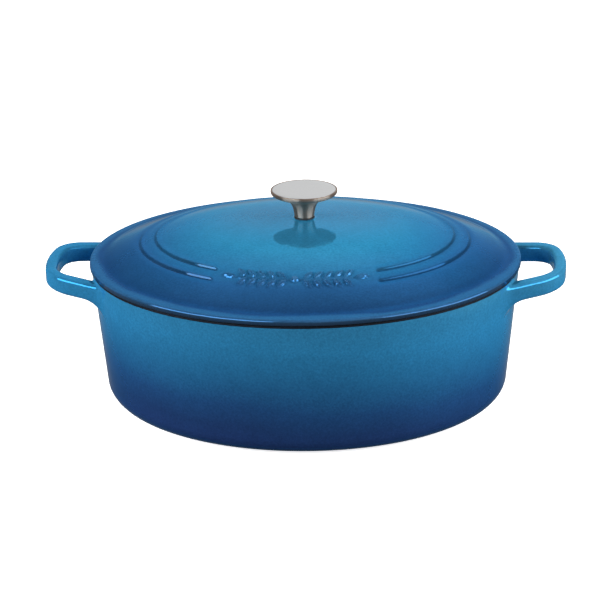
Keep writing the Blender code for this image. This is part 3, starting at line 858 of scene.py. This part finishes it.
def make_lid(blue, cream, black):
    angles = lid_angles()
    top, seat, under = lid_rows(angles)
    looks = [(blue, len(top)), (black, len(seat)), (cream, len(under) - 1), (black, 1)]
    rows = [row[::-1] for row in top + seat + under]
    lid = skin("lid_casting", rows, looks, tube=True)
    paint_shade_and_mark_glass(lid.data)
    settle(lid, "lid", "lid_enamel", "lid")


# ---------------------------------------------------------------- knob
KNOB_FOOT = KNOB_LOW.z
KNOB_TOP = KNOB_HIGH.z
KNOB_RADIUS = KNOB_HIGH.x
KNOB_WALL = 0.0013
KNOB_LIP = 0.0005
DISC_RADIUS = DISC_HIGH.x
INSERT_RADIUS = 0.0056
INSERT_TOP = 0.0100  # of the bore round the thread insert, above the knob's foot
DISC_EDGE = 0.0003
DISC_LEDGE = 0.0015  # that carries the disc
FOOT_CHAMFER = 0.0003
BORE_EDGE = 0.0002
# (r, z above the knob's foot) up the outside of the trumpet-shaped knob
KNOB_OUTSIDE = (
    (0.0073, 0.0000),
    (0.0077, 0.0034),
    (0.0086, 0.0072),
    (0.0103, 0.0105),
    (0.0138, 0.0133),
    (0.0190, 0.0153),
    (0.0230, 0.0170),
    (0.0244, 0.0182),
    (KNOB_RADIUS, 0.0193),
)


def make_knob(steel):
    """A hollow shell, open at the top where the disc drops in."""
    profile = [(INSERT_RADIUS + GAP, KNOB_FOOT), (KNOB_OUTSIDE[0][0] - FOOT_CHAMFER, KNOB_FOOT)]
    profile += smoothed([(r, KNOB_FOOT + max(z, FOOT_CHAMFER)) for r, z in KNOB_OUTSIDE], 7)
    lip = KNOB_RADIUS - KNOB_LIP
    profile += arc(lip, KNOB_TOP - KNOB_LIP, KNOB_LIP, 0, 90, 5)
    seat = DISC_LOW.z - GAP
    bore = DISC_RADIUS + GAP
    profile += arc(bore + BORE_EDGE, KNOB_TOP - BORE_EDGE, BORE_EDGE, 90, 180, 3)
    profile += [(bore, seat), (bore - DISC_LEDGE, seat)]
    inner = [(r - 0.0004, KNOB_FOOT + z + KNOB_WALL) for r, z in KNOB_OUTSIDE[5:2:-1]]
    profile += smoothed(inner, 6)
    profile.append((INSERT_RADIUS + GAP, KNOB_FOOT + INSERT_TOP))
    knob = turned("knob_shell", profile, steel, tube=True)
    settle(knob, "lid", "knob_polished_steel", "knob_body")


def make_disc(steel):
    """The flat disc let into the top of the knob."""
    profile = [(share * DISC_RADIUS, DISC_LOW.z) for share in (0.05, 0.5, 0.99)]
    profile += arc(DISC_RADIUS - DISC_EDGE, DISC_HIGH.z - DISC_EDGE, DISC_EDGE, 0, 90, 5)
    profile += [(share * DISC_RADIUS, DISC_HIGH.z) for share in (0.8, 0.6, 0.4, 0.2, 0.03)]
    disc = turned("knob_disc", profile, steel)
    settle(disc, "lid", "knob_brushed_steel", "knob_top_disc")


def make_gasket(rubber):
    """A flat ring with a rounded outer edge, between the knob and the lid."""
    low, high = GASKET_LOW.z, GASKET_HIGH.z
    middle = (low + high) / 2
    edge = (high - low) / 2
    outer = GASKET_HIGH.x
    profile = [(SCREW_HOLE_RADIUS, low), *arc(outer - edge, middle, edge, -90, 90, 8)]
    profile.append((SCREW_HOLE_RADIUS, high))
    gasket = turned("knob_seal", profile, rubber, tube=True)
    settle(gasket, "lid", "black_silicone", "knob_gasket")


def dress(node, look):
    """Gives a CAD node that stays in view its finish."""
    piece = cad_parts[node]
    piece.data.materials.clear()
    piece.data.materials.append(look)


# ---------------------------------------------------------------- stage, light and camera
def make_floor():
    """A pale floor that runs out of view, and that nothing mirrors."""
    mesh = bpy.data.meshes.new("floor")
    reach = FLOOR_REACH
    corners = [(-reach, -reach, 0), (reach, -reach, 0), (reach, reach, 0), (-reach, reach, 0)]
    mesh.from_pydata(corners, [], [(0, 1, 2, 3)])
    floor = bpy.data.objects.new("floor", mesh)
    bpy.context.scene.collection.objects.link(floor)
    look = Look("pale_floor", Roughness=0.9, Emission_Color=(1, 1, 1, 1), Emission_Strength=0.75)
    cloud = look.noise(3, 2.0)
    look.set("Base Color", look.ramp(cloud, [(0.3, (0.90, 0.90, 0.90)), (0.7, (0.93, 0.93, 0.93))]))
    mesh.materials.append(look.material)
    floor.visible_glossy = False
    floor.visible_diffuse = False


def make_softbox(name, place, size, power, glossy):
    """A soft light aimed at the object, either to light it or only to be mirrored in it."""
    light = bpy.data.lights.new(name, "AREA")
    light.shape = "RECTANGLE"
    light.size, light.size_y = size
    light.energy = power
    obj = bpy.data.objects.new(name, light)
    obj.location = place
    obj.rotation_mode = "QUATERNION"
    obj.rotation_quaternion = (LIGHT_AIM - Vector(place)).to_track_quat("-Z", "Y")
    obj.visible_camera = False
    obj.visible_glossy = glossy
    obj.visible_diffuse = not glossy
    bpy.context.scene.collection.objects.link(obj)
    return obj


def around(azimuth, elevation, distance):
    """A place round the object, with azimuth 0 at the front and growing towards +X."""
    a, e = math.radians(azimuth), math.radians(elevation)
    flat = distance * math.cos(e)
    return (flat * math.sin(a), -flat * math.cos(a), distance * math.sin(e))


def make_lights():
    for name, azimuth, elevation, size, power in SOFTBOXES:
        make_softbox(name, around(azimuth, elevation, LIGHT_DISTANCE), size, power, False)
    for name, azimuth, elevation, size, radiance in MIRRORED_BOXES:
        power = radiance * math.pi * size[0] * size[1]
        box = make_softbox(name, around(azimuth, elevation, LIGHT_DISTANCE), size, power, True)
        box.data.color = MIRRORED_COLOUR


def make_world():
    """A dim studio with a large pale panel behind the object."""
    world = bpy.data.worlds.new("studio")
    bpy.context.scene.world = world
    world.use_nodes = True
    tree = world.node_tree
    background = tree.nodes["Background"]

    def node(kind, inputs=(), **settings):
        made = tree.nodes.new(kind)
        for key, value in settings.items():
            setattr(made, key, value)
        for socket, value in dict(inputs).items():
            if isinstance(value, bpy.types.NodeSocket):
                tree.links.new(value, made.inputs[socket])
            else:
                made.inputs[socket].default_value = value
        return made

    def eased(value, start, end):
        ramp = {"Value": value, 1: start, 2: end}
        return node("ShaderNodeMapRange", ramp, interpolation_type="SMOOTHSTEP").outputs[0]

    def between(share, low, high):
        return node("ShaderNodeMix", {"Factor": share, 2: low, 3: high}).outputs[0]

    def times(*values):
        product = values[0]
        for value in values[1:]:
            product = node("ShaderNodeMath", {0: product, 1: value}, operation="MULTIPLY").outputs[0]
        return product

    x, y, z = node("ShaderNodeSeparateXYZ", {0: node("ShaderNodeTexCoord").outputs["Generated"]}).outputs
    side = eased(x, *LEFT_TO_RIGHT)
    panel = times(eased(z, *PANEL_LOW), eased(z, *PANEL_HIGH), eased(x, *PANEL_LEFT), eased(x, *PANEL_RIGHT))
    far = between(panel, FLOOR_LIGHT, between(side, *PANEL_LIGHT))
    room = between(eased(z, *HORIZON), FLOOR_LIGHT, between(side, *ROOM_LIGHT))
    strength = between(eased(y, *FAR_SIDE), room, far)
    seen = node("ShaderNodeLightPath").outputs["Is Camera Ray"]
    tree.links.new(between(seen, strength, 1.0), background.inputs["Strength"])
    background.inputs["Color"].default_value = (1, 1, 1, 1)


FLOOR_REACH = 6.0
LIGHT_DISTANCE = 1.5
LIGHT_AIM = Vector((0, 0, 0.08))
# lights that aren't mirrored: name, azimuth and elevation in degrees, size in metres, power in watts
SOFTBOXES = (
    ("softbox_left", -69, 22, (0.60, 0.9), 35.0),
    ("softbox_right", 70, 24, (1.6, 1.4), 42.0),
)
# boxes that are only mirrored: name, azimuth and elevation in degrees, size in metres, radiance
MIRRORED_BOXES = (
    ("mirrored_left", -45, 24, (1.66, 0.75), 5.0),
    ("mirrored_right", 68, 18, (1.8, 0.75), 3.6),
)
MIRRORED_COLOUR = (0.72, 0.89, 1.0)
PANEL_LIGHT = (0.60, 0.98)  # left end, right end
ROOM_LIGHT = (0.06, 0.50)  # towards the camera, from the left to the right
FLOOR_LIGHT = 0.27
# shares of a direction along X, Y or Z over which each change of light is spread
LEFT_TO_RIGHT = (-0.5, 0.5)
FAR_SIDE = (-0.1, 0.45)
HORIZON = (-0.2, 0.1)
PANEL_LOW = (-0.22, 0.0)
PANEL_HIGH = (0.93, 0.75)
PANEL_LEFT = (-0.45, -0.20)
PANEL_RIGHT = (0.52, 0.15)

FITTED_HALF_LENGTH = 0.159  # of the lid for which the distances below hold
CAMERA_SCALE = LID_HALF_LENGTH / FITTED_HALF_LENGTH
CAMERA_DISTANCE = 1.50 * CAMERA_SCALE
CAMERA_ELEVATION = math.radians(20.69)
CAMERA_ROLL = math.radians(0.98)
CAMERA_AROUND = math.radians(3.0)
CAMERA_AIM = Vector((-0.00139, 0, 0.06674)) * CAMERA_SCALE
CAMERA_LENS = 119.02


def make_camera():
    """A long lens from the front, a little above the lid and very slightly rolled."""
    data = bpy.data.cameras.new("camera")
    data.lens = CAMERA_LENS
    data.sensor_width = 36
    camera = bpy.data.objects.new("camera", data)
    bpy.context.scene.collection.objects.link(camera)
    bpy.context.scene.camera = camera
    flat = CAMERA_DISTANCE * math.cos(CAMERA_ELEVATION)
    rise = CAMERA_DISTANCE * math.sin(CAMERA_ELEVATION)
    place = Vector((0, -flat, CAMERA_AIM.z + rise))
    forward = (CAMERA_AIM - place).normalized()
    right = forward.cross(Vector((0, 0, 1))).normalized()
    up = right.cross(forward)
    right, up = (
        math.cos(CAMERA_ROLL) * right - math.sin(CAMERA_ROLL) * up,
        math.cos(CAMERA_ROLL) * up + math.sin(CAMERA_ROLL) * right,
    )
    turn = Matrix((right, up, -forward)).transposed().to_4x4()
    camera.matrix_world = Matrix.Rotation(CAMERA_AROUND, 4, "Z") @ Matrix.Translation(place) @ turn


def main():
    blue_pot, blue_lid = blue_pot_enamel(), blue_lid_enamel()
    cream, black = cream_enamel(), black_enamel()
    spun, brushed, plated, rubber = spun_steel(), brushed_steel(), plated_steel(), black_silicone()
    make_pot(blue_pot, cream, black, foot_enamel())
    make_lid(blue_lid, cream, black)
    make_knob(spun)
    make_disc(brushed)
    make_gasket(rubber)
    for node in ("knob_thread_insert", "knob_washer", "knob_lock_washer", "knob_screw"):
        dress(node, plated)
    make_floor()
    make_lights()
    make_world()
    make_camera()
    bpy.context.scene.view_settings.view_transform = "Standard"


main()
